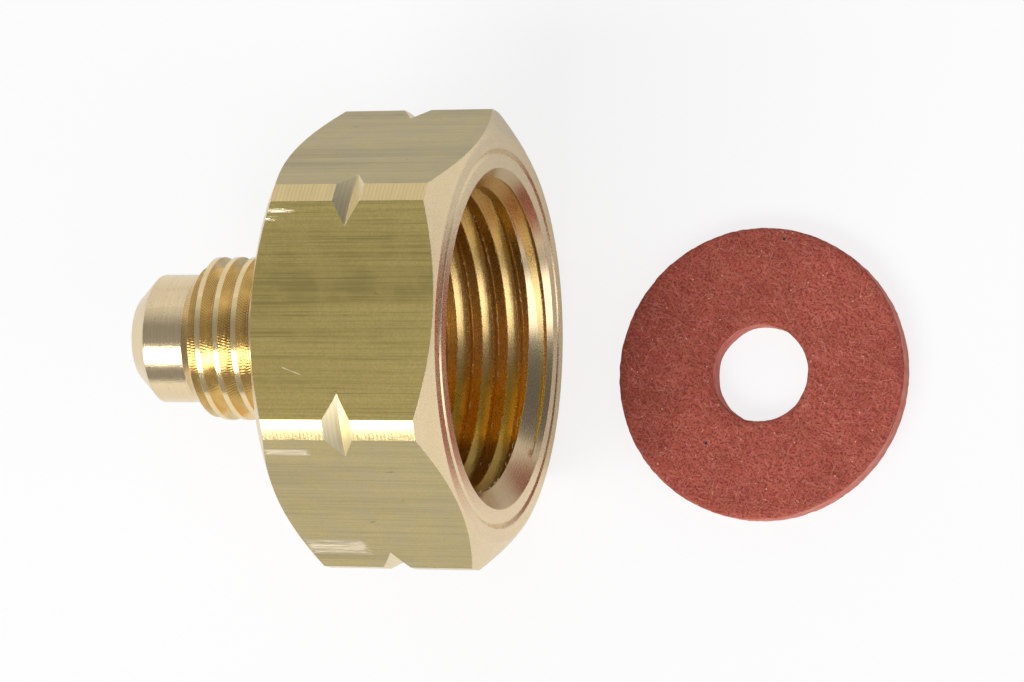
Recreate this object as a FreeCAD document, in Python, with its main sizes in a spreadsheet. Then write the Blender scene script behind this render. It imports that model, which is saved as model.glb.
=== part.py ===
import FreeCAD, Part
import math
import os
import Sketcher

# Gas adapter turned from hexagon brass bar, lying on one flat beside its sealing washer.
# The axis is X, the threaded mouth faces +X and its face is the plane X = 0.

# Sizes in millimetres and degrees
SIZES = [
    ("hex_flats", 27.0, "across flats of the bar"),
    ("hex_corners", 30.4, "diameter to which the corners are turned"),
    ("hex_length", 12.35, "length of the hexagon"),
    ("rear_face", 27.0, "diameter where the rear chamfer starts"),
    ("mouth_face", 26.65, "diameter where the front chamfer starts"),
    ("chamfer_slope", 30.0, "angle between both chamfers and the end faces"),
    ("notch_station", 6.27, "from the mouth face to the middle of the left-hand mark"),
    ("notch_width", 1.87, "width of the left-hand mark on the corners"),
    ("notch_depth", 0.7, "depth of the left-hand mark"),
    ("ring_diameter", 24.55, "middle of the fine ring turned in the mouth face"),
    ("ring_width", 0.4, "width of that ring"),
    ("ring_depth", 0.18, "depth of that ring"),
    ("socket_bore", 20.0, "bore inside the socket thread"),
    ("socket_groove", 0.9, "depth of the socket thread"),
    ("socket_pitch", 25.4 / 14.0, "pitch of the socket thread, 14 turns to the inch"),
    ("socket_flanks", 55.0, "angle between the flanks of the socket thread"),
    ("socket_root", 0.2, "flat at the bottom of the socket thread"),
    ("socket_depth", 9.6, "from the mouth face to the washer seat"),
    ("socket_relief", 1.7, "length of the relief behind the socket thread"),
    ("relief_clearance", 0.1, "how much deeper the reliefs are than the threads"),
    ("socket_lead", 0.92, "how far outside the mouth the socket thread starts"),
    ("countersink_width", 1.2, "radial width of the countersink in the mouth"),
    ("countersink_depth", 1.35, "axial depth of that countersink"),
    ("spigot_thread", 10.9, "outside diameter of the spigot thread"),
    ("spigot_groove", 0.79, "depth of the spigot thread, a V with a sharp root"),
    ("spigot_pitch", 25.4 / 20.0, "pitch of the spigot thread, 20 turns to the inch"),
    ("spigot_flanks", 60.0, "angle between the flanks of the spigot thread"),
    ("spigot_relief", 1.2, "length of the relief between hexagon and spigot thread"),
    ("spigot_length", 8.6, "from the hexagon to the nose shoulder"),
    ("spigot_lead", 0.6, "how far outside the nose shoulder the spigot thread starts"),
    ("nose_diameter", 8.57, "plain nose"),
    ("nose_length", 2.72, "cylinder of the nose"),
    ("tip_diameter", 5.8, "end face of the nose"),
    ("passage", 4.0, "gas passage"),
    ("passage_edge", 0.3, "broken edge at both ends of the gas passage"),
    ("cutter_overlap", 0.04, "how far the thread profiles reach past the turned surface"),
    ("washer_clearance", 0.1, "gap all round between washer and socket bore"),
    ("washer_hole", 6.57, "hole of the washer"),
    ("washer_thickness", 1.7, "thickness of the washer"),
    ("washer_edge", 0.14, "bevel of the punched upper edges"),
    ("washer_ahead", 14.4, "from the mouth face to the middle of the washer"),
    ("washer_aside", 0.7, "from the axis to the middle of the washer, towards -Y"),
]

doc = FreeCAD.newDocument("adapter")
sheet = doc.addObject("Spreadsheet::Sheet", "Sizes")
for row, (alias, value, meaning) in enumerate(SIZES, start=1):
    sheet.set(f"A{row}", repr(value))
    sheet.setAlias(f"A{row}", alias)
    sheet.set(f"B{row}", meaning)
doc.recompute()


def origin_feature(body, role):
    return next(feature for feature in body.Origin.OriginFeatures if feature.Role == role)


def sized(text):
    """Write the aliases in an expression as cells of the sheet."""
    for alias, _, _ in SIZES:
        text = text.replace(f"<{alias}>", f"Sizes.{alias}")
    return text


def place_point(sketch, geometry, end, axis, expression):
    """Hold one coordinate of a sketch point to an expression, with a positive distance."""
    value = sheet.evalExpression(sized(expression))
    if value == 0:
        sketch.addConstraint(Sketcher.Constraint("PointOnObject", geometry, end, -2 if axis == 0 else -1))
        return
    kind = ("DistanceX", "DistanceY")[axis]
    ends = (-1, 1, geometry, end) if value > 0 else (geometry, end, -1, 1)
    index = sketch.addConstraint(Sketcher.Constraint(kind, *ends, abs(value)))
    sign = "" if value > 0 else "-1 * "
    sketch.setExpression(f"Constraints[{index}]", f"{sign}({sized(expression)})")


def profile(body, name, corners, plane="XY_Plane"):
    """Closed outline of straight lines through corners given as pairs of expressions."""
    sketch = body.newObject("Sketcher::SketchObject", name)
    sketch.AttachmentSupport = [(origin_feature(body, plane), "")]
    sketch.MapMode = "FlatFace"
    points = [FreeCAD.Vector(sheet.evalExpression(sized(u)), sheet.evalExpression(sized(v)), 0)
              for u, v in corners]
    for start, end in zip(points, points[1:] + points[:1]):
        sketch.addGeometry(Part.LineSegment(start, end), False)
    count = len(points)
    for index in range(count):
        sketch.addConstraint(Sketcher.Constraint("Coincident", index, 2, (index + 1) % count, 1))
    for index, corner in enumerate(corners):
        for axis, expression in enumerate(corner):
            place_point(sketch, index, 1, axis, expression)
    return sketch


def revolve(body, kind, name, sketch, axis="X_Axis"):
    feature = body.newObject(f"PartDesign::{kind}", name)
    feature.Profile = sketch
    feature.ReferenceAxis = (origin_feature(body, axis), [""])
    feature.Angle = 360
    sketch.Visibility = False
    doc.recompute()
    return feature


def thread(body, name, sketch, pitch, height, left_handed, backwards):
    feature = body.newObject("PartDesign::SubtractiveHelix", name)
    feature.Profile = sketch
    feature.ReferenceAxis = (origin_feature(body, "X_Axis"), [""])
    feature.Mode = 0
    feature.setExpression("Pitch", sized(pitch))
    feature.setExpression("Height", sized(height))
    feature.LeftHanded = left_handed
    feature.Reversed = backwards
    feature.HasBeenEdited = True
    doc.recompute()
    return feature


adapter = doc.addObject("PartDesign::Body", "adapter_body")
adapter.Label = "adapter_body"

# Hexagon bar with one flat up and one flat down
section = adapter.newObject("Sketcher::SketchObject", "BarSection")
section.AttachmentSupport = [(origin_feature(adapter, "YZ_Plane"), "")]
section.MapMode = "FlatFace"
corner_radius = sheet.evalExpression("Sizes.hex_flats / 2") / math.cos(math.radians(30))
bar_corners = [FreeCAD.Vector(corner_radius * math.cos(math.radians(60 * step)),
                              corner_radius * math.sin(math.radians(60 * step)), 0) for step in range(6)]
for start, end in zip(bar_corners, bar_corners[1:] + bar_corners[:1]):
    section.addGeometry(Part.LineSegment(start, end), False)
circle = section.addGeometry(Part.Circle(FreeCAD.Vector(), FreeCAD.Vector(0, 0, 1), corner_radius), True)
section.addConstraint(Sketcher.Constraint("Coincident", circle, 3, -1, 1))
for side in range(6):
    section.addConstraint(Sketcher.Constraint("Coincident", side, 2, (side + 1) % 6, 1))
    section.addConstraint(Sketcher.Constraint("PointOnObject", side, 1, circle))
for side in range(5):
    section.addConstraint(Sketcher.Constraint("Equal", side, side + 1))
section.addConstraint(Sketcher.Constraint("PointOnObject", 0, 1, -1))
radius = section.addConstraint(Sketcher.Constraint("Radius", circle, corner_radius))
section.setExpression(f"Constraints[{radius}]", sized("<hex_flats> / 2 / cos(30 deg)"))
bar = adapter.newObject("PartDesign::Pad", "Bar")
bar.Profile = section
bar.Reversed = True
bar.setExpression("Length", sized("<hex_length>"))
doc.recompute()

# Turned corners and the 30 degree chamfers at both ends, cut away from outside
OUTSIDE = "<hex_flats>"
FACE_SLOPE = "tan(<chamfer_slope> * 1 deg)"
REAR_CORNER = f"(<hex_length> - (<hex_corners> - <rear_face>) / 2 * {FACE_SLOPE})"
MOUTH_CORNER = f"((<hex_corners> - <mouth_face>) / 2 * {FACE_SLOPE})"
turning = profile(adapter, "TurnedOutline", [
    ("-<hex_length>", "<rear_face> / 2"),
    (f"-{REAR_CORNER}", "<hex_corners> / 2"),
    (f"-{MOUTH_CORNER}", "<hex_corners> / 2"),
    ("0", "<mouth_face> / 2"),
    ("0", OUTSIDE),
    ("-<hex_length>", OUTSIDE),
])
revolve(adapter, "Groove", "TurnedHexagon", turning)

# V cut through the corners, the mark of a left-hand thread
notch = profile(adapter, "NotchSection", [
    ("-<notch_station> - <notch_width> / 2", "<hex_corners> / 2"),
    ("-<notch_station>", "<hex_corners> / 2 - <notch_depth>"),
    ("-<notch_station> + <notch_width> / 2", "<hex_corners> / 2"),
    ("-<notch_station> + <notch_width> / 2", OUTSIDE),
    ("-<notch_station> - <notch_width> / 2", OUTSIDE),
])
revolve(adapter, "Groove", "LeftHandNotch", notch)

# Spigot with its relief, thread blank, 45 degree shoulder and plain nose with a cone tip
RELIEF = "(<spigot_thread> / 2 - <spigot_groove> - <relief_clearance>)"
SHOULDER = "(<spigot_thread> - <nose_diameter>) / 2"
NOSE_END = "(<hex_length> + <spigot_length> + <nose_length>)"
TIP_CONE = "(<nose_diameter> - <tip_diameter>) / 2"
spigot = profile(adapter, "SpigotOutline", [
    ("-<hex_length> / 2 - <socket_depth> / 2", "0"),
    ("-<hex_length> / 2 - <socket_depth> / 2", RELIEF),
    ("-<hex_length> - <spigot_relief>", RELIEF),
    ("-<hex_length> - <spigot_relief>", "<spigot_thread> / 2"),
    (f"-<hex_length> - <spigot_length> + {SHOULDER}", "<spigot_thread> / 2"),
    ("-<hex_length> - <spigot_length>", "<nose_diameter> / 2"),
    (f"-{NOSE_END}", "<nose_diameter> / 2"),
    (f"-{NOSE_END} - {TIP_CONE}", "<tip_diameter> / 2"),
    (f"-{NOSE_END} - {TIP_CONE}", "0"),
])
revolve(adapter, "Revolution", "Spigot", spigot)

# Socket with countersink, thread bore, relief and flat washer seat
RELIEF_RADIUS = "(<socket_bore> / 2 + <socket_groove> + <relief_clearance>)"
socket = profile(adapter, "SocketOutline", [
    ("0", "0"),
    ("0", "<socket_bore> / 2 + <countersink_width>"),
    ("-<countersink_depth>", "<socket_bore> / 2"),
    ("-<socket_depth> + <socket_relief>", "<socket_bore> / 2"),
    ("-<socket_depth> + <socket_relief>", RELIEF_RADIUS),
    ("-<socket_depth>", RELIEF_RADIUS),
    ("-<socket_depth>", "0"),
])
revolve(adapter, "Groove", "Socket", socket)

# Gas passage from the washer seat to the tip, with broken edges
TIP = f"({NOSE_END} + {TIP_CONE})"
passage = profile(adapter, "PassageOutline", [
    ("-<socket_depth>", "0"),
    ("-<socket_depth>", "<passage> / 2 + <passage_edge>"),
    ("-<socket_depth> - <passage_edge>", "<passage> / 2"),
    (f"-{TIP} + <passage_edge>", "<passage> / 2"),
    (f"-{TIP}", "<passage> / 2 + <passage_edge>"),
    (f"-{TIP}", "0"),
])
revolve(adapter, "Groove", "GasPassage", passage)

# Fine V-shaped ring in the mouth face
ring = profile(adapter, "RingSection", [
    ("0", "<ring_diameter> / 2 - <ring_width> / 2"),
    ("-<ring_depth>", "<ring_diameter> / 2"),
    ("0", "<ring_diameter> / 2 + <ring_width> / 2"),
])
revolve(adapter, "Groove", "FaceRing", ring)


def thread_section(name, station, root_radius, depth, flanks, root=None):
    """Section of one thread groove: depth is counted from the root, outwards or inwards."""
    spread = f"abs({depth}) * tan({flanks} * 0.5 deg)"
    half_root = f"{root} / 2" if root else "0"
    tip = [f"{station} - {half_root}", f"{station} + {half_root}"] if root else [station]
    return profile(adapter, name, [(place, root_radius) for place in tip] + [
        (f"{station} + ({half_root} + {spread})", f"{root_radius} + {depth}"),
        (f"{station} - ({half_root} + {spread})", f"{root_radius} + {depth}"),
    ])


# Right-hand thread on the spigot, from outside the shoulder into the relief
spigot_start = "-(<hex_length> + <spigot_length> + <spigot_lead>)"
spigot_cut = thread_section("SpigotThreadSection", spigot_start,
                            "(<spigot_thread> / 2 - <spigot_groove>)",
                            "(<spigot_groove> + <cutter_overlap>)", "<spigot_flanks>")
thread(adapter, "SpigotThread", spigot_cut, "<spigot_pitch>",
       "<spigot_length> + <spigot_lead> - <spigot_relief> / 2", False, False)

# Left-hand thread in the socket, from outside the mouth into the relief
socket_cut = thread_section("SocketThreadSection", "<socket_lead>",
                            "(<socket_bore> / 2 + <socket_groove>)",
                            "(-<socket_groove> - <cutter_overlap>)", "<socket_flanks>", "<socket_root>")
thread(adapter, "SocketThread", socket_cut, "<socket_pitch>",
       "<socket_depth> - <socket_relief> / 2 + <socket_lead>", True, True)

# Flat fibre washer lying on the same surface as the lower flat, its upper punched edges beveled
washer = doc.addObject("PartDesign::Body", "sealing_washer")
washer.Label = "sealing_washer"
WASHER_RADIUS = "(<socket_bore> / 2 - <washer_clearance>)"
washer_outline = profile(washer, "WasherSection", [
    ("<washer_hole> / 2", "0"),
    (WASHER_RADIUS, "0"),
    (WASHER_RADIUS, "<washer_thickness>"),
    ("<washer_hole> / 2", "<washer_thickness>"),
], plane="XZ_Plane")
disc = revolve(washer, "Revolution", "Disc", washer_outline, axis="Z_Axis")
upper_edges = [f"Edge{number}" for number, edge in enumerate(disc.Shape.Edges, start=1)
               if len(edge.Vertexes) == 1 and edge.BoundBox.ZMin > disc.Shape.BoundBox.Center.z]
bevel = washer.newObject("PartDesign::Chamfer", "PunchedEdges")
bevel.Base = (disc, upper_edges)
bevel.setExpression("Size", sized("<washer_edge>"))
washer.setExpression("Placement.Base.x", sized("<washer_ahead>"))
washer.setExpression("Placement.Base.y", sized("-<washer_aside>"))
washer.setExpression("Placement.Base.z", sized("-<hex_flats> / 2"))
doc.recompute()

# Every object has to be sound before anything is written
for item in doc.Objects:
    if "Invalid" in item.State or "Error" in item.State:
        raise RuntimeError(f"{item.Name} failed: {item.State}")
os.makedirs("parts", exist_ok=True)
for node in (adapter, washer):
    shape = node.Shape
    if shape.isNull() or not shape.isValid() or len(shape.Solids) != 1:
        raise RuntimeError(f"{node.Label} has no sound shape")
    shape.exportStep(f"parts/{node.Label}.step")
    print(node.Label, round(shape.Volume, 1), shape.BoundBox)
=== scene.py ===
import math
import random

import bmesh
import bpy
from mathutils import Matrix, Vector, noise


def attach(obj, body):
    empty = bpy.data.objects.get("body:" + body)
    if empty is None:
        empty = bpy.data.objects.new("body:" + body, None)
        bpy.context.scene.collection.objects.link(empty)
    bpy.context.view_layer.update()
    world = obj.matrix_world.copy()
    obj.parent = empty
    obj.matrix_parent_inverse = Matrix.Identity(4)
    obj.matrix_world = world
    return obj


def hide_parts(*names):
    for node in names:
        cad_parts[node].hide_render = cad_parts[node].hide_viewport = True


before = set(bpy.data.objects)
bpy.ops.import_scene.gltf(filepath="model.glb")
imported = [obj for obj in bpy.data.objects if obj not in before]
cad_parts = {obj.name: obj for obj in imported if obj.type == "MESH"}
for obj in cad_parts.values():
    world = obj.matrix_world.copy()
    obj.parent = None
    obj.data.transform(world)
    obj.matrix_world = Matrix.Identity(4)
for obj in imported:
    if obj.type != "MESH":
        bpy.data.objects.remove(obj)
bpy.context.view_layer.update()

mm = 0.001


# Small helpers for building node trees

def setInputs(tree, node, inputs):
    for name, value in inputs.items():
        if isinstance(value, bpy.types.NodeSocket):
            tree.links.new(value, node.inputs[name])
        else:
            node.inputs[name].default_value = value
    return node


def addNode(tree, kind, inputs=None, **settings):
    node = tree.nodes.new("ShaderNode" + kind)
    for name, value in settings.items():
        setattr(node, name, value)
    return setInputs(tree, node, inputs or {})


def calc(tree, operation, *values, clamp=False):
    node = addNode(tree, "Math", dict(enumerate(values)), operation=operation, use_clamp=clamp)
    return node.outputs[0]


def plus(tree, first, second):
    return calc(tree, "ADD", first, second)


def times(tree, first, second, clamp=False):
    return calc(tree, "MULTIPLY", first, second, clamp=clamp)


def larger(tree, first, second):
    return calc(tree, "MAXIMUM", first, second)


def lengthOf(tree, first, second):
    squares = [calc(tree, "POWER", value, 2.0) for value in (first, second)]
    return calc(tree, "SQRT", plus(tree, *squares))


def ramp(tree, value, low, high, toLow=0.0, toHigh=1.0, smooth=True):
    kind = "SMOOTHSTEP" if smooth else "LINEAR"
    inputs = {"Value": value, "From Min": low, "From Max": high, "To Min": toLow, "To Max": toHigh}
    return addNode(tree, "MapRange", inputs, interpolation_type=kind).outputs["Result"]


def mixColour(tree, share, first, second):
    node = addNode(tree, "Mix", {0: share}, data_type="RGBA", clamp_factor=True)
    for index, tone in ((6, first), (7, second)):
        setInputs(tree, node, {index: (*tone, 1.0) if isinstance(tone, tuple) else tone})
    return node.outputs[2]


def splitVector(tree, vector):
    return addNode(tree, "SeparateXYZ", {0: vector}).outputs


def vectorMath(tree, operation, inputs, output="Vector"):
    return addNode(tree, "VectorMath", inputs, operation=operation).outputs[output]


def moved(tree, vector, **inputs):
    return addNode(tree, "Mapping", {"Vector": vector, **inputs}).outputs[0]


def fineNoise(tree, vector, scale, detail=2.0, roughness=0.5):
    inputs = {"Vector": vector, "Scale": scale, "Detail": detail, "Roughness": roughness}
    return addNode(tree, "TexNoise", inputs).outputs["Fac"]


def stretched(tree, vector, along, across, detail=2.0, roughness=0.5):
    scaled = moved(tree, vector, Scale=(along, across, across))
    return fineNoise(tree, scaled, 1.0, detail, roughness)


def startGroup(name, inputs, outputs):
    tree = bpy.data.node_groups.new(name, "ShaderNodeTree")
    for label, value in inputs.items():
        kind = "NodeSocketVector" if isinstance(value, tuple) else "NodeSocketFloat"
        socket = tree.interface.new_socket(label, in_out="INPUT", socket_type=kind)
        socket.default_value = value
    for label, kind in outputs.items():
        tree.interface.new_socket(label, in_out="OUTPUT", socket_type="NodeSocket" + kind)
    return tree, tree.nodes.new("NodeGroupInput").outputs, tree.nodes.new("NodeGroupOutput").inputs


def useGroup(tree, group, inputs):
    node = tree.nodes.new("ShaderNodeGroup")
    node.node_tree = group
    return setInputs(tree, node, inputs).outputs


def startMaterial(name):
    # with the place in millimetres, which every pattern is drawn by
    material = bpy.data.materials.new(name)
    material.use_nodes = True
    tree = material.node_tree
    place = moved(tree, addNode(tree, "TexCoord").outputs["Object"], Scale=(1.0 / mm,) * 3)
    return material, tree, tree.nodes["Principled BSDF"], place


def addBump(tree, shader, height, depth, **inputs):
    bump = addNode(tree, "Bump", {"Height": height, "Distance": depth * mm, "Strength": 1.0, **inputs})
    tree.links.new(bump.outputs[0], shader.inputs["Normal"])


# Shared effects

effects = {
    "roundingSamples": 6,
    "wear": (0.995, 0.9),       # cosine of the angle between the plain and the rounded normal
    "waverScale": 0.9,
    "unevenScale": 0.37,        # how fast the depth of the lines changes from one to the next
    "unevenDetail": 2.0,
    "noiseRange": (0.3, 0.7),   # where most of a noise lies
    "grain": (3.0, 0.6),        # detail and roughness
    "speckScale": 0.35,         # share of the grain's scale
    "speckRange": (0.16, 0.06),
    "markEdge": (1.05, 0.85),
}


def makeEdgeRounding():
    # softened edges, and a mask that is 1 on them
    tree, given, result = startGroup("edgeRounding", {"Radius": 0.05}, {"Normal": "Vector", "Wear": "Float"})
    metres = times(tree, given["Radius"], mm)
    rounded = addNode(tree, "Bevel", {"Radius": metres}, samples=effects["roundingSamples"]).outputs[0]
    plain = addNode(tree, "NewGeometry").outputs["Normal"]
    match = vectorMath(tree, "DOT_PRODUCT", {0: rounded, 1: plain}, "Value")
    tree.links.new(rounded, result["Normal"])
    tree.links.new(ramp(tree, match, *effects["wear"]), result["Wear"])
    return tree


def makeToolLines():
    # the fine lines that a turning tool leaves, by the distance that it was fed
    tree, given, result = startGroup(
        "toolLines", {"Vector": (0.0, 0.0, 0.0), "Distance": 0.0, "Pitch": 0.1, "Waver": 0.3},
        {"Height": "Float", "Tone": "Float"})
    waver = times(tree, fineNoise(tree, given["Vector"], effects["waverScale"]), given["Waver"])
    turns = plus(tree, calc(tree, "DIVIDE", given["Distance"], given["Pitch"]), waver)
    wave = calc(tree, "SINE", times(tree, turns, math.tau))
    slower = times(tree, turns, effects["unevenScale"])
    inputs = {"W": slower, "Scale": 1.0, "Detail": effects["unevenDetail"]}
    uneven = addNode(tree, "TexNoise", inputs, noise_dimensions="1D").outputs["Fac"]
    # one half of the height is the wave, the other half how uneven it is
    half = calc(tree, "MULTIPLY_ADD", wave, 0.25, 0.25)
    tree.links.new(plus(tree, half, times(tree, uneven, 0.5)), result["Height"])
    tree.links.new(ramp(tree, uneven, *effects["noiseRange"]), result["Tone"])
    return tree


def makeMetalGrain():
    # crystal grain and tiny specks of machined brass
    tree, given, result = startGroup(
        "metalGrain", {"Vector": (0.0, 0.0, 0.0), "Size": 0.08},
        {"Height": "Float", "Tone": "Float", "Specks": "Float"})
    scale = calc(tree, "DIVIDE", 1.0, given["Size"])
    grain = fineNoise(tree, given["Vector"], scale, *effects["grain"])
    inputs = {"Vector": given["Vector"], "Scale": times(tree, scale, effects["speckScale"])}
    cells = addNode(tree, "TexVoronoi", inputs).outputs["Distance"]
    tree.links.new(grain, result["Height"])
    tree.links.new(ramp(tree, grain, *effects["noiseRange"]), result["Tone"])
    tree.links.new(ramp(tree, cells, *effects["speckRange"]), result["Specks"])
    return tree


def makeRubbedMark():
    # a patch rubbed bright; Vector runs from -1 to 1 over it
    tree, given, result = startGroup(
        "rubbedMark", {"Vector": (0.0, 0.0, 0.0), "Streaks": 0.0, "Ragged": 0.5}, {"Mask": "Float"})
    parts = splitVector(tree, given["Vector"])
    along = calc(tree, "ABSOLUTE", parts[0])
    aside = lengthOf(tree, parts[1], parts[2])
    ragged = times(tree, calc(tree, "SUBTRACT", given["Streaks"], 0.5), given["Ragged"])
    edge = plus(tree, larger(tree, along, aside), ragged)
    tree.links.new(ramp(tree, edge, *effects["markEdge"]), result["Mask"])
    return tree


edgeRounding = makeEdgeRounding()
toolLines = makeToolLines()
metalGrain = makeMetalGrain()
rubbedMark = makeRubbedMark()
print("shared effects made")


# Brass: one alloy, finished in several ways

brass = {
    "clean": (0.83, 0.665, 0.415),
    "golden": (0.83, 0.65, 0.33),
    "deepGold": (0.86, 0.59, 0.25),
    "spigot": (0.84, 0.665, 0.37),
    # painted reflection: the orange that the bore reflects, laid on the socket's thread by Y
    "paintedOrangeReflection": (1.0, 0.58, 0.045),
    # painted shade: darker flanks at the top and bottom of the bore
    "paintedBoreShade": (0.36, 0.24, 0.07),
    # the notch's brass, made paler as a painted highlight for the soft light that it reflects
    "notchBrassAndHighlight": (0.96, 0.83, 0.54),
    "drawn": (0.61, 0.485, 0.165),
    "drawnDark": (0.31, 0.245, 0.075),
    "dulled": (0.455, 0.38, 0.24),
    "stain": (0.12, 0.095, 0.045),
    "rubbed": (0.86, 0.74, 0.52),
    "edgeRadius": 0.045,      # mm
    "wearShare": 0.6,
}


def startMetal(name, radius=brass["edgeRadius"]):
    material, tree, shader, place = startMaterial(name)
    shader.inputs["Metallic"].default_value = 1.0
    edges = useGroup(tree, edgeRounding, {"Radius": radius})
    return material, tree, shader, place, edges


def finishMetal(tree, shader, colour, roughness, height, depth, normal):
    tree.links.new(colour, shader.inputs["Base Color"])
    tree.links.new(roughness, shader.inputs["Roughness"])
    addBump(tree, shader, height, depth, Normal=normal)


drawnSkin = {
    "oilWeight": 0.6,         # thin film of drawing oil
    "oilRoughness": 0.42,
    # streaks: scale along and across the bar, detail, roughness; then the range that shows, and its share
    "fine": (0.07, 6.5, 3.0, 0.65), "fineRange": (0.42, 0.72), "fineShare": 0.6,
    "middle": (0.03, 1.9, 3.0), "middleRange": (0.48, 0.74), "middleShare": 0.4,
    "broad": (0.03, 0.42, 1.0), "broadRange": (0.5, 0.68), "broadShare": 0.35,
    "hairlines": (0.12, 11.0, 1.0), "hairlinesRange": (0.64, 0.72), "hairlinesShare": 0.35,
    "stains": (0.9, 3.2, 3.0), "stainsRange": (0.70, 0.80), "stainsShare": 0.7,
    "scuffs": (0.45, 15.0, 2.0), "scuffsRange": (0.38, 0.56),
    "cloud": (0.55, 3.0), "cloudShade": (0.2, 0.75, 0.6, 1.1),
    # painted shade: a darker band on the upper flat, where it reflects less light;
    # its two sides in Y, and the height where it starts (mm)
    "paintedShadeFrom": (-0.8, 1.8), "paintedShadeTo": (6.2, 4.4), "paintedShadeHeight": (12.9, 13.3), "paintedShadeShare": 0.4,
    "grainSize": 0.14,        # mm
    "grainTint": 0.35,
    "grainHeight": 0.8,
    "dulledFrom": (7.6, 8.2), "dulledShare": (0.25, 0.75, 0.25, 0.6),
    "raggedness": 3.0,
    "rubbedLow": 0.25, "rubbedShare": 0.9, "rubbedSmoother": 0.12,
    "dentLow": 0.3,
    "wearShare": 0.5,
    "roughness": (0.5, 0.62),
    "depth": 0.004,           # mm
}

marks = [
    # middle (mm), half length, half width, turn in degrees, raggedness, lean of the pressed metal
    ((-10.9, 6.38, 13.5), 1.05, 0.19, 0, 0.9, 0.42),
    ((-11.5, 5.86, 13.5), 0.42, 0.16, 0, 1.3, 0.42),
    ((-10.15, -8.86, 11.65), 1.55, 0.33, 0, 0.3, -0.5),
    ((-9.75, -14.06, 2.65), 2.1, 0.82, 0, 0.25, -0.4),
    ((-9.4, 7.9, -12.3), 1.5, 0.35, 0, 0.8, 0.0),
    ((-9.4, -3.88, 13.5), 0.73, 0.035, -20, 0.3, 0.12),
]


def skinLayer(tree, place, name):
    return ramp(tree, stretched(tree, place, *drawnSkin[name]), *drawnSkin[name + "Range"])


def darkStreaksAndShade(tree, place, fine, cloud):
    parts = splitVector(tree, place)
    dark = times(tree, ramp(tree, fine, *drawnSkin["fineRange"]), drawnSkin["fineShare"])
    for name in ("middle", "broad"):
        dark = plus(tree, dark, times(tree, skinLayer(tree, place, name), drawnSkin[name + "Share"]))
    # painted shade: a darker band on the upper flat
    sides = [ramp(tree, parts[1], *drawnSkin[name]) for name in ("paintedShadeFrom", "paintedShadeTo")]
    band = times(tree, times(tree, *sides), ramp(tree, parts[2], *drawnSkin["paintedShadeHeight"]))
    dark = plus(tree, dark, times(tree, band, drawnSkin["paintedShadeShare"]))
    return times(tree, dark, ramp(tree, cloud, *drawnSkin["cloudShade"]), clamp=True)


def rubbedPatches(tree, place):
    # how bright the marks are rubbed, and how far the metal is pressed aside in them
    scuffs = stretched(tree, place, *drawnSkin["scuffs"])
    rubbed = dent = 0.0
    for middle, length, width, turn, ragged, lean in marks:
        inputs = {"Vector": place, "Location": middle, "Rotation": (0.0, 0.0, math.radians(turn)),
                  "Scale": (length, width, width)}
        local = addNode(tree, "Mapping", inputs, vector_type="TEXTURE").outputs[0]
        inputs = {"Vector": local, "Streaks": scuffs, "Ragged": ragged * drawnSkin["raggedness"]}
        mask = useGroup(tree, rubbedMark, inputs)["Mask"]
        rubbed = larger(tree, mask, rubbed)
        across = splitVector(tree, local)[1]
        dent = plus(tree, times(tree, times(tree, mask, across), lean * width), dent)
    low, high = drawnSkin["scuffsRange"]
    rubbed = times(tree, rubbed, ramp(tree, scuffs, low, high, drawnSkin["rubbedLow"], 1.0))
    dent = times(tree, dent, ramp(tree, scuffs, low, high, drawnSkin["dentLow"], 1.0))
    return rubbed, dent


def makeDrawnFlats():
    # the hexagon's flats keep the skin of the drawn bar, streaked along it
    material, tree, shader, place, edges = startMetal("drawnBrass")
    shader.inputs["Coat Weight"].default_value = drawnSkin["oilWeight"]
    shader.inputs["Coat Roughness"].default_value = drawnSkin["oilRoughness"]
    fine = stretched(tree, place, *drawnSkin["fine"])
    cloud = fineNoise(tree, place, *drawnSkin["cloud"])
    dark = darkStreaksAndShade(tree, place, fine, cloud)
    colour = mixColour(tree, dark, brass["drawn"], brass["drawnDark"])
    hairlines = times(tree, skinLayer(tree, place, "hairlines"), drawnSkin["hairlinesShare"])
    colour = mixColour(tree, hairlines, colour, brass["stain"])
    grain = useGroup(tree, metalGrain, {"Vector": place, "Size": drawnSkin["grainSize"]})
    colour = mixColour(tree, times(tree, grain["Tone"], drawnSkin["grainTint"]), colour, brass["drawnDark"])
    aside = calc(tree, "ABSOLUTE", splitVector(tree, place)[1])
    outer = ramp(tree, aside, *drawnSkin["dulledFrom"])
    dulled = times(tree, outer, ramp(tree, cloud, *drawnSkin["dulledShare"]))
    colour = mixColour(tree, dulled, colour, brass["dulled"])
    stains = times(tree, skinLayer(tree, place, "stains"), drawnSkin["stainsShare"])
    colour = mixColour(tree, stains, colour, brass["stain"])
    rubbed, dent = rubbedPatches(tree, place)
    worn = times(tree, edges["Wear"], drawnSkin["wearShare"])
    bright = larger(tree, times(tree, rubbed, drawnSkin["rubbedShare"]), worn)
    colour = mixColour(tree, bright, colour, brass["rubbed"])
    rough = ramp(tree, dark, 0.0, 1.0, *drawnSkin["roughness"], smooth=False)
    rough = calc(tree, "SUBTRACT", rough, times(tree, rubbed, drawnSkin["rubbedSmoother"]))
    height = calc(tree, "SUBTRACT", times(tree, dent, 1.0 / drawnSkin["depth"]), fine)
    height = plus(tree, height, times(tree, grain["Height"], drawnSkin["grainHeight"]))
    finishMetal(tree, shader, colour, rough, height, drawnSkin["depth"], edges["Normal"])
    return material


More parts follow.
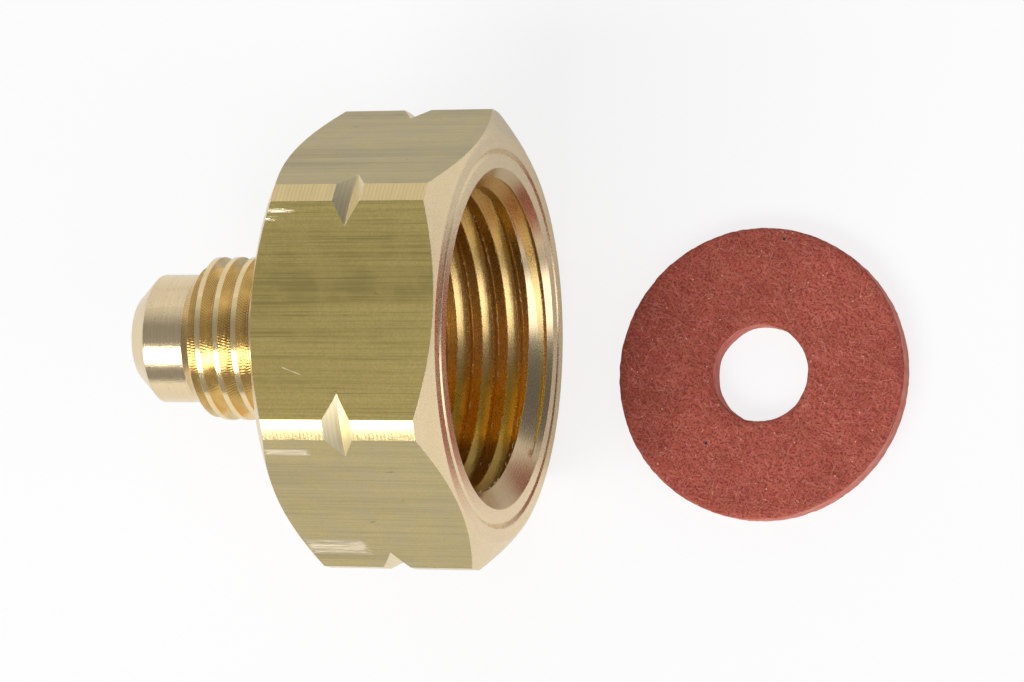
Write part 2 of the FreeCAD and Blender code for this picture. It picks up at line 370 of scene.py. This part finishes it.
turned = {
    "cloud": (0.7, 3.0),
    "darker": 0.72,
    "roughBelow": 0.04, "roughAbove": 0.05, "roughCloud": 0.04,
    "chips": (7.0, 3.0, 0.7), "chipRange": (0.48, 0.6),
    # painted light on the socket's thread: two places in Y (mm) and the share at each,
    # painted orange reflection outside the middle, and painted shade, darker, at both ends
    "paintedOrangeReflection": ((-3.0, 0.8, 0.85, 0.0), (5.2, 7.5, 0.0, 0.3)),
    "paintedBoreShade": ((-6.6, -4.9, 0.9, 0.0), (6.6, 9.0, 0.0, 0.35)),
}


def leanInward(tree, place, normal, share):
    # a worn tool leaves the flanks of a thread slightly round, so they lean towards the axis
    inward = vectorMath(tree, "MULTIPLY", {0: place, 1: (0.0, -1.0, -1.0)})
    inward = vectorMath(tree, "NORMALIZE", {0: inward})
    inward = vectorMath(tree, "SCALE", {0: inward, "Scale": share})
    both = vectorMath(tree, "ADD", {0: inward, 1: normal})
    return vectorMath(tree, "NORMALIZE", {0: both})


def makeTurned(name, tone, pitch, depth, roughness, grainSize, grainShare, radial=False, tint=0.15,
               lineTint=0.0, grainDepth=2.0, chipDepth=0.02, lean=0.0, edgeRadius=brass["edgeRadius"]):
    # turned with a pointed tool: lines by the distance along the axis, or by the radius on a faced end
    material, tree, shader, place, edges = startMetal(name, edgeRadius)
    parts = splitVector(tree, place)
    distance = lengthOf(tree, parts[1], parts[2]) if radial else parts[0]
    lines = useGroup(tree, toolLines, {"Vector": place, "Distance": distance, "Pitch": pitch})
    grain = useGroup(tree, metalGrain, {"Vector": place, "Size": grainSize})
    cloud = fineNoise(tree, place, *turned["cloud"])
    darker = tuple(channel * turned["darker"] for channel in brass[tone])
    shade = times(tree, plus(tree, lines["Tone"], ramp(tree, cloud, *effects["noiseRange"])), tint)
    colour = mixColour(tree, shade, brass[tone], darker)
    colour = mixColour(tree, times(tree, lines["Height"], lineTint), colour, darker)
    colour = mixColour(tree, times(tree, grain["Specks"], grainShare), colour, brass["drawnDark"])
    colour = mixColour(tree, times(tree, edges["Wear"], brass["wearShare"]), colour, brass["rubbed"])
    normal = edges["Normal"]
    if lean:
        # painted light on the socket's thread, by Y: an orange reflection, and shade at both ends
        for paintedLight in ("paintedOrangeReflection", "paintedBoreShade"):
            ends = [ramp(tree, parts[1], *limits) for limits in turned[paintedLight]]
            colour = mixColour(tree, plus(tree, *ends), colour, brass[paintedLight])
        normal = leanInward(tree, place, normal, lean)
    low, high = roughness - turned["roughBelow"], roughness + turned["roughAbove"]
    rough = ramp(tree, grain["Tone"], 0.0, 1.0, low, high)
    rough = plus(tree, rough, times(tree, cloud, turned["roughCloud"]))
    height = plus(tree, lines["Height"], times(tree, grain["Height"], grainShare * grainDepth))
    chips = ramp(tree, fineNoise(tree, place, *turned["chips"]), *turned["chipRange"])
    chips = times(tree, chips, edges["Wear"])
    height = calc(tree, "SUBTRACT", height, times(tree, chips, chipDepth / depth))
    finishMetal(tree, shader, colour, rough, height, depth, normal)
    return material


chatter = {
    "aroundTurn": 5.0,        # mm for each radian round the spigot
    "alongAxis": 0.55,
    "pitch": 0.19,            # mm
    "waver": (0.8, 1.0),
    "patches": (0.5, 2.0), "patchRange": (0.36, 0.62),
    "flankTilt": (0.1, 0.3),  # level crests stay smooth
    "grainSize": 0.09,        # mm
    "grainHeight": 0.3,
    "darker": 0.55,
    "tint": 0.75,
    "roughness": (0.14, 0.24),
    "depth": 0.006,           # mm
}


def makeSpigotThread():
    # cut with a chattering tool: short ripples across the flanks
    material, tree, shader, place, edges = startMetal("spigotThreadBrass")
    parts = splitVector(tree, place)
    angle = calc(tree, "ARCTAN2", parts[1], parts[2])
    along = times(tree, parts[0], chatter["alongAxis"])
    around = plus(tree, times(tree, angle, chatter["aroundTurn"]), along)
    waver = fineNoise(tree, place, *chatter["waver"])
    count = plus(tree, calc(tree, "DIVIDE", around, chatter["pitch"]), waver)
    wave = calc(tree, "SINE", times(tree, count, math.tau))
    normal = addNode(tree, "NewGeometry").outputs["Normal"]
    tilt = calc(tree, "ABSOLUTE", splitVector(tree, normal)[0])
    patches = ramp(tree, fineNoise(tree, place, *chatter["patches"]), *chatter["patchRange"])
    where = times(tree, patches, ramp(tree, tilt, *chatter["flankTilt"]))
    ripple = times(tree, calc(tree, "MULTIPLY_ADD", wave, 0.5, 0.5), where)
    grain = useGroup(tree, metalGrain, {"Vector": place, "Size": chatter["grainSize"]})
    darker = tuple(channel * chatter["darker"] for channel in brass["spigot"])
    colour = mixColour(tree, times(tree, ripple, chatter["tint"]), brass["spigot"], darker)
    colour = mixColour(tree, times(tree, edges["Wear"], brass["wearShare"]), colour, brass["rubbed"])
    rough = ramp(tree, grain["Tone"], 0.0, 1.0, *chatter["roughness"])
    height = plus(tree, ripple, times(tree, grain["Height"], chatter["grainHeight"]))
    finishMetal(tree, shader, colour, rough, height, chatter["depth"], edges["Normal"])
    return material


finishes = {
    "flat": makeDrawnFlats(),
    "corner": makeTurned("cornerBrass", "golden", pitch=0.258, depth=0.012, roughness=0.17,
                         grainSize=0.10, grainShare=0.10, lineTint=0.8),
    "faced": makeTurned("facedBrass", "clean", pitch=0.09, depth=0.0012, roughness=0.25,
                        grainSize=0.10, grainShare=0.05, radial=True, tint=0.10, edgeRadius=0.07),
    # the notch's tone is brass made paler by a painted highlight
    "notch": makeTurned("notchBrass", "notchBrassAndHighlight", pitch=0.17, depth=0.003, roughness=0.33,
                        grainSize=0.10, grainShare=0.02, radial=True, lineTint=0.65),
    "nose": makeTurned("noseBrass", "clean", pitch=0.07, depth=0.002, roughness=0.13,
                       grainSize=0.12, grainShare=0.45, grainDepth=11.0),
    "thread": makeSpigotThread(),
    "socket": makeTurned("socketBrass", "deepGold", pitch=0.13, depth=0.003, roughness=0.25,
                         grainSize=0.12, grainShare=0.10, radial=True),
    "socketThread": makeTurned("socketThreadBrass", "deepGold", pitch=0.13, depth=0.003, roughness=0.25,
                               grainSize=0.07, grainShare=0.45, grainDepth=5.0, chipDepth=0.12,
                               lean=0.63, edgeRadius=0.10),
    "burr": makeTurned("burrBrass", "rubbed", pitch=0.13, depth=0.002, roughness=0.5,
                       grainSize=0.05, grainShare=0.1),
    "countersink": makeTurned("countersinkBrass", "clean", pitch=0.13, depth=0.002, roughness=0.22,
                              grainSize=0.05, grainShare=0.12, radial=True),
}
print("brass finishes made")


# A mesh becomes a piece of the scene

def addPiece(name, shape, materials):
    mesh = bpy.data.meshes.new(name)
    shape.to_mesh(mesh)
    shape.free()
    for material in materials:
        mesh.materials.append(material)
    piece = bpy.data.objects.new(name, mesh)
    bpy.context.scene.collection.objects.link(piece)
    return piece


def markSharpEdges(shape, degrees):
    limit = math.radians(degrees)
    for edge in shape.edges:
        edge.smooth = edge.calc_face_angle(0.0) < limit


# Adapter: the CAD shape, merged, with a finish for each kind of surface

adapter = {
    # mm, from the axis or along it
    "flats": 13.5,
    "notchBottom": 14.45,
    "notch": (-7.3, -5.25),
    "hexEnd": -12.35,
    "belowMouth": -0.001,
    "socketRadius": 11.25,
    "threadCrest": 9.9,
    "noseStart": -20.94,
    "passageLimit": 3.0,      # between the gas passage and the spigot's thread
    "tolerance": 0.01,
    "flatTolerance": 0.005,
    "weld": 0.0002,
    # how far a face looks along the axis
    "levelTilt": 0.01,
    "countersinkTilt": (0.5, 0.75),
    "seatTilt": 0.93,
    "smoothBelow": 20,        # degrees between faces that are shaded as one surface
}

burrs = {
    "seed": 8,
    # mm
    "crestRadius": 10.0,
    "crestTolerance": 0.06,
    "length": (0.12, 0.45),
    "rise": (0.06, 0.22),
    "thickness": 0.045,
    # how many, and how they curl
    "count": 260,
    "patchScale": 0.9,        # they stand in patches, where this noise is above the level
    "patchLevel": -0.05,
    "steps": 5,
    "curl": 0.75,             # share of a half turn
    "aside": 0.6,
    "taper": 0.6,
    "section": ((1.0, 0.0), (-0.5, 0.9), (-0.5, -0.9)),   # inward and along the axis
}


def finishOf(face):
    centre = face.calc_center_median() / mm
    normal = face.normal
    radius = math.hypot(centre.y, centre.z)
    if centre.x < adapter["hexEnd"] - adapter["tolerance"]:
        onThread = centre.x > adapter["noseStart"] and radius > adapter["passageLimit"]
        return "thread" if onThread else "nose"
    if abs(normal.x) < adapter["levelTilt"] and radius > adapter["flats"] - adapter["tolerance"]:
        outward = normal.y * centre.y + normal.z * centre.z
        return "flat" if abs(outward - adapter["flats"]) < adapter["flatTolerance"] else "corner"
    if radius < adapter["socketRadius"] and centre.x < adapter["belowMouth"]:
        low, high = adapter["countersinkTilt"]
        if low < normal.x < high:
            return "countersink"
        onThread = radius > adapter["threadCrest"] and abs(normal.x) < adapter["seatTilt"]
        return "socketThread" if onThread else "socket"
    start, end = adapter["notch"]
    if radius > adapter["notchBottom"] and start < centre.x < end:
        return "notch"
    return "faced"


def crestEdges(shape, names):
    # the sharp edges of the socket's thread, where the tool left burrs
    wanted = {names.index("socketThread"), names.index("countersink")}
    found = []
    for edge in shape.edges:
        middle = (edge.verts[0].co + edge.verts[1].co) / 2.0
        offCrest = abs(math.hypot(middle.y, middle.z) / mm - burrs["crestRadius"])
        if edge.smooth or offCrest > burrs["crestTolerance"] or len(edge.link_faces) != 2:
            continue
        if {face.material_index for face in edge.link_faces} <= wanted:
            along = (edge.verts[1].co - edge.verts[0].co).normalized()
            found.append((tuple(middle), tuple(along)))
    return sorted(found)


def addBurrs(shape, names):
    # thin curls of metal that stand out of the crests, in small groups
    chance = random.Random(burrs["seed"])
    spots = [spot for spot in crestEdges(shape, names)
             if noise.noise(Vector(spot[0]) / mm * burrs["patchScale"]) > burrs["patchLevel"]]
    axis = Vector((1.0, 0.0, 0.0))
    for spot in chance.sample(spots, burrs["count"]):
        start, along = (Vector(part) for part in spot)
        inward = Vector((0.0, -start.y, -start.z)).normalized()
        outward = axis * chance.uniform(-1.0, 1.0)
        length = chance.uniform(*burrs["length"]) * mm * chance.choice((-1, 1))
        rise = chance.uniform(*burrs["rise"]) * mm
        rings = []
        for step in range(burrs["steps"] + 1):
            share = step / burrs["steps"]
            bend = math.sin(math.pi * burrs["curl"] * share)
            place = start + along * length * share + inward * rise * bend
            place += outward * rise * burrs["aside"] * share
            thick = burrs["thickness"] * mm * (1.0 - burrs["taper"] * share)
            corners = [inward * rising + axis * across for rising, across in burrs["section"]]
            rings.append([shape.verts.new(place + corner * thick) for corner in corners])
        faces = [shape.faces.new(rings[0][::-1]), shape.faces.new(rings[-1])]
        for first, second in zip(rings, rings[1:]):
            for side in range(len(first)):
                after = (side + 1) % len(first)
                faces.append(shape.faces.new((first[side], first[after], second[after], second[side])))
        bmesh.ops.recalc_face_normals(shape, faces=faces)
        for face in faces:
            face.material_index = names.index("burr")
            face.smooth = True


def dressAdapter():
    shape = bmesh.new()
    shape.from_mesh(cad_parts["adapter_body"].data)
    bmesh.ops.remove_doubles(shape, verts=shape.verts, dist=adapter["weld"] * mm)
    bmesh.ops.dissolve_degenerate(shape, edges=shape.edges, dist=adapter["weld"] * mm)
    names = list(finishes)
    for face in shape.faces:
        face.material_index = names.index(finishOf(face))
        face.smooth = True
    markSharpEdges(shape, adapter["smoothBelow"])
    addBurrs(shape, names)
    piece = addPiece("adapterBody", shape, finishes.values())
    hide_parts("adapter_body")
    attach(piece, "root")
    return piece


adapterBody = dressAdapter()
print("adapter dressed:", len(adapterBody.data.polygons), "faces")


# Sealing washer: punched from pressed red fibre board

washer = {
    # mm
    "middle": (14.4, -0.7),
    "bottom": -13.5,
    "top": -11.8,
    "outer": 9.9,
    "hole": 3.285,
    "bevel": 0.14,
    "weld": 0.001,
    "tolerance": 0.01,
    # how finely it is divided
    "steps": 240,
    "wallRings": 5,
    "faceRings": 12,
    # how rough each surface is (mm), and the scale and share of each noise in it
    "rimRough": 0.06, "rimNoise": ((1.7, 0.4), (5.0, 0.6)), "rimSink": 0.8,
    "holeRough": 0.05, "holeNoise": ((Vector((0.9, 0.9, 0.4)), 1.0), (5.0, 0.3)),
    "faceRough": 0.02, "faceNoise": ((2.2, 1.0),), "faceSink": 0.5,
    "cutTilt": 0.3,           # faces that look up or down less than this are cut ones
    "smoothBelow": 60,        # degrees
    "red": (0.56, 0.100, 0.070),
    "redDark": (0.21, 0.026, 0.016),
    "redPale": (0.72, 0.22, 0.17),
    "tan": (0.54, 0.19, 0.085),
    "cut": (0.62, 0.27, 0.21),
    "straw": (0.80, 0.42, 0.28),
    # two dark specks: where (mm) and their tone
    "specks": [((10.84, -5.47), (0.02, 0.03, 0.08)), ((15.76, 8.37), (0.04, 0.025, 0.02))],
    "speckRadius": 0.10, "speckSoft": 0.03, "speckRagged": 0.04,
}

fibre = {
    # strands: turn in degrees and seed, how they are stretched, and the range of the noise that shows
    "turns": ((34, 1.0), (48, 7.0), (20, 13.0), (68, 19.0), (2, 29.0), (112, 37.0)),
    "stretch": (0.75, 14.0, 3.0), "detail": 3.0, "distortion": 0.15,
    "strandRange": (0.56, 0.68), "strandShare": 0.56, "strandHeight": 0.6,
    "hollowRange": (0.42, 0.30), "hollowShare": 0.6,
    "pores": (6.0, 3.0, 0.7), "poresRange": (0.52, 0.34), "poresShare": 0.85,
    "dust": (16.0, 2.0, 0.7), "dustRange": (0.55, 0.72), "dustShare": 0.4,
    "cloud": (0.35, 3.0), "cloudRange": (0.35, 0.65, 0.0, 0.3),
    # painted shadow: the washer is darker towards the adapter, which shades it
    "paintedAdapterShadow": (10.0, 4.0, 0.0, 0.35),    # darker towards the adapter, by X (mm)
    "tan": (2.1,), "tanRange": (0.42, 0.58),
    "fleckScale": 1.5, "fleckRange": (0.095, 0.065),
    "roughness": (0.9, 0.75),
    "depth": 0.03,                          # mm
    # the punched edge
    "layerStretch": (1.2, 1.2, 7.0), "layers": (1.0, 4.0, 0.6), "layersRange": (0.4, 0.65),
    "crumbs": (8.0, 3.0, 0.65), "crumbsRange": (0.45, 0.7), "crumbsShare": 0.5,
    "cutRoughness": 0.9,
    "cutDepth": 0.05,                       # mm
    # loose hairs
    "hair": (0.8, 1.0), "hairRange": (0.45, 0.75), "hairRoughness": 0.7,
}


def fibreLayer(tree, place, name):
    return ramp(tree, fineNoise(tree, place, *fibre[name]), *fibre[name + "Range"])


def fibreStrands(tree, place):
    strands = hollows = 0.0
    for turn, seed in fibre["turns"]:
        shifted = moved(tree, place, Rotation=(0.0, 0.0, math.radians(turn)), Location=(seed, seed, seed))
        scaled = moved(tree, shifted, Scale=fibre["stretch"])
        inputs = {"Vector": scaled, "Scale": 1.0, "Detail": fibre["detail"],
                  "Distortion": fibre["distortion"]}
        strand = addNode(tree, "TexNoise", inputs).outputs["Fac"]
        strands = larger(tree, ramp(tree, strand, *fibre["strandRange"]), strands)
        hollows = larger(tree, ramp(tree, strand, *fibre["hollowRange"]), hollows)
    return strands, hollows


def makeFibreFace():
    material, tree, shader, place = startMaterial("redFibre")
    strands, hollows = fibreStrands(tree, place)
    pores = fibreLayer(tree, place, "pores")
    # painted shadow of the adapter, added to the random cloud tone
    paintedAdapterShadow = ramp(tree, splitVector(tree, place)[0], *fibre["paintedAdapterShadow"])
    shade = plus(tree, fibreLayer(tree, place, "cloud"), paintedAdapterShadow)
    colour = mixColour(tree, shade, washer["red"], washer["redDark"])
    colour = mixColour(tree, times(tree, hollows, fibre["hollowShare"]), colour, washer["redDark"])
    pale = mixColour(tree, fibreLayer(tree, place, "tan"), washer["redPale"], washer["tan"])
    colour = mixColour(tree, times(tree, strands, fibre["strandShare"]), colour, pale)
    colour = mixColour(tree, times(tree, pores, fibre["poresShare"]), colour, washer["redDark"])
    dust = times(tree, fibreLayer(tree, place, "dust"), fibre["dustShare"])
    colour = mixColour(tree, dust, colour, washer["redPale"])
    flecks = addNode(tree, "TexVoronoi", {"Vector": place, "Scale": fibre["fleckScale"]}).outputs["Distance"]
    colour = mixColour(tree, ramp(tree, flecks, *fibre["fleckRange"]), colour, washer["straw"])
    radius, soft = washer["speckRadius"], washer["speckSoft"]
    for middle, tone in washer["specks"]:
        away = vectorMath(tree, "DISTANCE", {0: place, 1: (*middle, washer["top"])}, "Value")
        away = plus(tree, away, times(tree, pores, washer["speckRagged"]))
        colour = mixColour(tree, ramp(tree, away, radius + soft, radius), colour, tone)
    tree.links.new(colour, shader.inputs["Base Color"])
    tree.links.new(ramp(tree, strands, 0.0, 1.0, *fibre["roughness"]), shader.inputs["Roughness"])
    height = calc(tree, "SUBTRACT", times(tree, strands, fibre["strandHeight"]), pores)
    addBump(tree, shader, height, fibre["depth"])
    return material


def makeFibreCut():
    # the punched edge: paler, with layers that run round it
    material, tree, shader, place = startMaterial("cutFibre")
    scaled = moved(tree, place, Scale=fibre["layerStretch"])
    layers = fineNoise(tree, scaled, *fibre["layers"])
    crumbs = fineNoise(tree, place, *fibre["crumbs"])
    colour = mixColour(tree, ramp(tree, layers, *fibre["layersRange"]), washer["cut"], washer["red"])
    share = times(tree, ramp(tree, crumbs, *fibre["crumbsRange"]), fibre["crumbsShare"])
    colour = mixColour(tree, share, colour, washer["redPale"])
    tree.links.new(colour, shader.inputs["Base Color"])
    shader.inputs["Roughness"].default_value = fibre["cutRoughness"]
    addBump(tree, shader, plus(tree, layers, crumbs), fibre["cutDepth"])
    return material


def makeHairFibre():
    material, tree, shader, place = startMaterial("looseFibre")
    colour = mixColour(tree, fibreLayer(tree, place, "hair"), washer["redPale"], washer["straw"])
    tree.links.new(colour, shader.inputs["Base Color"])
    shader.inputs["Roughness"].default_value = fibre["hairRoughness"]
    return material


pressed, cut, loose = range(3)   # the order of the washer's materials


def washerOutline():
    # the half section, once round from the hole's lower edge: radius and height
    hole, outer, bottom, top = (washer[name] for name in ("hole", "outer", "bottom", "top"))
    bevel, walls, rings = washer["bevel"], washer["wallRings"], washer["faceRings"]
    levels = [bottom + (top - bevel - bottom) * step / walls for step in range(1, walls + 1)]
    first, last = outer - bevel, hole + bevel
    outline = [(hole, bottom), (outer, bottom)]
    outline += [(outer, level) for level in levels]
    outline += [(first + (last - first) * step / rings, top) for step in range(rings + 1)]
    outline += [(hole, level) for level in reversed(levels)]
    return outline


def swingAt(place, layers):
    return sum(noise.noise(place * scale) * share for scale, share in layers)


def roughen(shape, middle):
    # the punch tears the rim and the hole, and pressing leaves the upper face uneven
    edge = washer["bevel"] + washer["tolerance"]
    for vert in shape.verts:
        arm = Vector((vert.co.x, vert.co.y, 0.0)) - middle
        radius = arm.length
        arm.normalize()
        if radius > washer["outer"] - edge:
            swing = swingAt(vert.co, washer["rimNoise"]) - washer["rimSink"]
            vert.co += arm * swing * washer["rimRough"]
        elif radius < washer["hole"] + edge:
            vert.co += arm * swingAt(vert.co, washer["holeNoise"]) * washer["holeRough"]
        elif vert.co.z > washer["top"] - washer["tolerance"]:
            swing = swingAt(vert.co, washer["faceNoise"]) - washer["faceSink"]
            vert.co.z += swing * washer["faceRough"]


def punchedDisc():
    shape = bmesh.new()
    middle = Vector((*washer["middle"], 0.0))
    points = [shape.verts.new((middle.x + radius, middle.y, height)) for radius, height in washerOutline()]
    edges = [shape.edges.new(pair) for pair in zip(points, points[1:] + points[:1])]
    bmesh.ops.spin(shape, geom=points + edges, cent=middle, axis=(0.0, 0.0, 1.0), angle=math.tau,
                   steps=washer["steps"], use_merge=True, use_duplicate=False)
    bmesh.ops.remove_doubles(shape, verts=shape.verts, dist=washer["weld"])
    bmesh.ops.recalc_face_normals(shape, faces=shape.faces)
    roughen(shape, middle)
    for face in shape.faces:
        face.smooth = True
        face.material_index = cut if abs(face.normal.z) < washer["cutTilt"] else pressed
    markSharpEdges(shape, washer["smoothBelow"])
    return shape


hairs = {
    "seed": 11,
    "count": 260,
    "short": (0.35, 1.0),     # mm
    "long": (1.2, 2.6),
    "longEvery": 5,
    "radius": 0.010,
    "thickness": (0.7, 1.2),  # share of the radius
    "pieces": 7,
    "order": 3,               # of the curve, which needs as many points
    "bend": 0.2,              # spread of the turn from piece to piece, in radians
    "wander": 0.18,           # and of what each piece adds to it
    # how near to the hole and to the rim they may start, and come (mm)
    "startInset": (0.35, 0.3),
    "stopInset": (0.2, 0.16),
    # how far below the washer's top (mm)
    "endDepth": 0.018,
    "middleDepth": 0.004,
}


def hairLine(chance, place, heading, length, bend):
    fromHole, fromRim = hairs["stopInset"]
    line = []
    for step in range(hairs["pieces"] + 1):
        fromMiddle = (place - Vector(washer["middle"])).length
        if not washer["hole"] + fromHole < fromMiddle < washer["outer"] - fromRim:
            break
        depth = hairs["endDepth"] if step in (0, hairs["pieces"]) else hairs["middleDepth"]
        line.append((place.x, place.y, washer["top"] - depth))
        place = place + Vector((math.cos(heading), math.sin(heading))) * (length / hairs["pieces"])
        heading += bend + chance.gauss(0.0, hairs["wander"])
    return line


def looseHairs():
    # fine hairs that stand out of the pressed surface, each a thin curved tube
    chance = random.Random(hairs["seed"])
    curve = bpy.data.curves.new("hairs", "CURVE")
    curve.dimensions = "3D"
    curve.bevel_depth = hairs["radius"]
    curve.bevel_resolution = 0
    curve.use_fill_caps = True
    curve.resolution_u = 2
    across, up = washer["middle"]
    fromHole, fromRim = hairs["startInset"]
    for number in range(hairs["count"]):
        angle = chance.uniform(0.0, math.tau)
        radius = math.sqrt(chance.uniform((washer["hole"] + fromHole) ** 2, (washer["outer"] - fromRim) ** 2))
        place = Vector((across + radius * math.cos(angle), up + radius * math.sin(angle)))
        heading = chance.uniform(0.0, math.tau)
        length = chance.uniform(*hairs["short" if number % hairs["longEvery"] else "long"])
        bend = chance.gauss(0.0, hairs["bend"])
        line = hairLine(chance, place, heading, length, bend)
        if len(line) >= hairs["order"]:
            spline = curve.splines.new("NURBS")
            spline.points.add(len(line) - 1)
            for point, spot in zip(spline.points, line):
                point.co = (*spot, 1.0)
                point.radius = chance.uniform(*hairs["thickness"])
            spline.order_u = hairs["order"]
            spline.use_endpoint_u = True
    holder = bpy.data.objects.new("hairs", curve)
    bpy.context.scene.collection.objects.link(holder)
    bpy.context.view_layer.update()
    tubes = bpy.data.meshes.new_from_object(holder.evaluated_get(bpy.context.evaluated_depsgraph_get()))
    bpy.data.objects.remove(holder)
    bpy.data.curves.remove(curve)
    return tubes


def makeWasher():
    shape = punchedDisc()
    tubes = looseHairs()
    before = len(shape.faces)
    shape.from_mesh(tubes)
    shape.faces.ensure_lookup_table()
    for face in shape.faces[before:]:
        face.material_index = loose
        face.smooth = True
    bpy.data.meshes.remove(tubes)
    bmesh.ops.scale(shape, vec=(mm, mm, mm), verts=shape.verts)
    piece = addPiece("sealingWasher", shape, (makeFibreFace(), makeFibreCut(), makeHairFibre()))
    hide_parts("sealing_washer")
    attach(piece, "root")
    return piece


sealingWasher = makeWasher()
print("washer made:", len(sealingWasher.data.polygons), "faces")


# Floor, light and camera

studio = {
    "floorHalf": 3.0,          # m
    "floorHeight": -0.0135,
    "floorColour": 0.93,
    "floorShadow": 0.2,        # how much of the shadow the camera sees
    "mirrorShadow": 0.9,       # and how much of it the brass reflects
    "sky": 0.33,
    "skyRight": 0.13,          # the room is darker beyond the right side
    "skyTurn": (0.1, 0.75),    # X of the direction where that starts, and where it is full
    "lightDistance": 0.6,
    "lights": {
        # direction, width and height (m), brightness
        "softBox": ((-0.315, -0.606, 0.731), 0.50, 0.245, 7.0),
        "sideBox": ((0.807, -0.359, 0.469), 0.30, 0.62, 1.9),
        "paleBoardLow": ((-0.32, 0.903, 0.285), 1.20, 0.378, 0.49),
        "paleBoardMiddle": ((-0.32, 0.675, 0.664), 1.20, 0.200, 0.38),
        "paleBoardHigh": ((-0.32, 0.459, 0.828), 1.20, 0.147, 0.17),
    },
}

camera = {
    "place": (0.08851, -0.03553, 0.26441),
    "turn": (8.0356, 18.0396, 2.5565),   # degrees
    "lens": 150.76,                      # mm
    "frameWidth": 36.0,                  # mm
    "nearest": 0.01,                     # m
}


def seesBackground(tree):
    path = addNode(tree, "LightPath").outputs
    return path["Is Camera Ray"], larger(tree, path["Is Glossy Ray"], path["Is Transmission Ray"])


def makeFloorMaterial():
    # pale and matt, but whiter to the camera and in the brass than its shadow leaves it
    material = bpy.data.materials.new("paleFloor")
    material.use_nodes = True
    tree = material.node_tree
    tree.nodes.remove(tree.nodes["Principled BSDF"])
    cameraRay, mirrorRay = seesBackground(tree)
    share = larger(tree, times(tree, cameraRay, 1.0 - studio["floorShadow"]),
                   times(tree, mirrorRay, 1.0 - studio["mirrorShadow"]))
    pale = studio["floorColour"]
    matt = addNode(tree, "BsdfDiffuse", {"Color": (pale, pale, pale, 1.0)})
    white = addNode(tree, "Emission", {"Color": (1.0, 1.0, 1.0, 1.0), "Strength": 1.0})
    both = addNode(tree, "MixShader", {"Fac": share, 1: matt.outputs[0], 2: white.outputs[0]})
    tree.links.new(both.outputs[0], tree.nodes["Material Output"].inputs["Surface"])
    return material


def makeFloor():
    shape = bmesh.new()
    bmesh.ops.create_grid(shape, x_segments=1, y_segments=1, size=studio["floorHalf"])
    bmesh.ops.translate(shape, verts=shape.verts, vec=(0.0, 0.0, studio["floorHeight"]))
    floor = addPiece("floor", shape, [makeFloorMaterial()])


def makeSky():
    world = bpy.data.worlds.new("studioSky")
    bpy.context.scene.world = world
    world.use_nodes = True
    tree = world.node_tree
    cameraRay, mirrorRay = seesBackground(tree)
    across = splitVector(tree, addNode(tree, "TexCoord").outputs["Generated"])[0]
    sky = ramp(tree, across, *studio["skyTurn"], studio["sky"], studio["skyRight"])
    strength = larger(tree, cameraRay, sky)
    tree.links.new(strength, tree.nodes["Background"].inputs["Strength"])
    tree.nodes["Background"].inputs["Color"].default_value = (1.0, 1.0, 1.0, 1.0)


def makeLights():
    for name, (direction, width, height, brightness) in studio["lights"].items():
        data = bpy.data.lights.new(name, "AREA")
        data.shape = "RECTANGLE"
        data.size, data.size_y = width, height
        data.energy = brightness * math.pi * width * height
        light = bpy.data.objects.new(name, data)
        bpy.context.scene.collection.objects.link(light)
        # it faces the middle, with its width as near to X as that allows, or to Y when it faces along X
        away = Vector(direction).normalized()
        level = Vector((1.0, 0.0, 0.0)) if abs(away.x) < 0.5 else Vector((0.0, 1.0, 0.0))
        level = (level - away * level.dot(away)).normalized()
        facing = Matrix((level, away.cross(level), away)).transposed().to_4x4()
        light.matrix_world = Matrix.Translation(away * studio["lightDistance"]) @ facing


def makeCamera():
    data = bpy.data.cameras.new("photoCamera")
    data.sensor_width = camera["frameWidth"]
    data.lens = camera["lens"]
    data.clip_start = camera["nearest"]
    holder = bpy.data.objects.new("photoCamera", data)
    bpy.context.scene.collection.objects.link(holder)
    holder.location = camera["place"]
    holder.rotation_euler = [math.radians(angle) for angle in camera["turn"]]
    bpy.context.scene.camera = holder


makeFloor()
makeSky()
makeLights()
makeCamera()
bpy.context.scene.view_settings.view_transform = "Standard"
print("studio set up")
